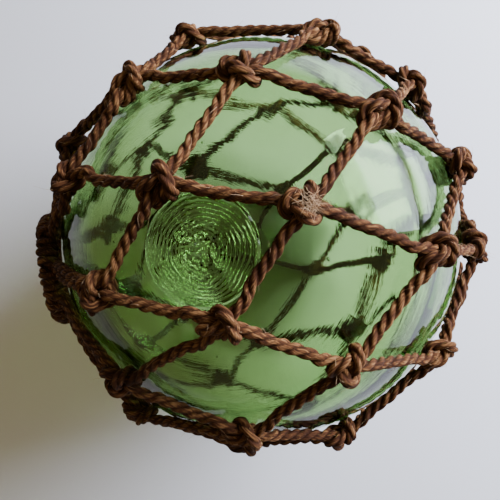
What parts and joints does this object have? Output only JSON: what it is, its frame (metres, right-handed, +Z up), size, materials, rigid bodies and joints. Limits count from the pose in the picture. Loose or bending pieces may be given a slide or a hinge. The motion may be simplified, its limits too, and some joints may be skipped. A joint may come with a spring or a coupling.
{
  "type": "netted glass float ball",
  "caption": "Hollow blown-glass fishing float with a sealing button, held in a knotted rope net that is gathered at both ends.",
  "frame": {"origin": "on the ground, below the middle of the whole part", "axes": "+Z up, the glass seal looks up; +X along the level run of the net's axis, from the gather where the net was begun to the gather where it is drawn in"},
  "size_m": [0.1388, 0.135, 0.1326],
  "materials": {
    "glass": "clear pale green blown glass, faintly streaked, with tooling ridges on the seal",
    "rope": "brown laid plant-fibre rope, weathered, with loose fibres"
  },
  "bodies": {
    "root": {"glass_float": "glass", "rope_net": "rope"}
  },
  "joints": []
}
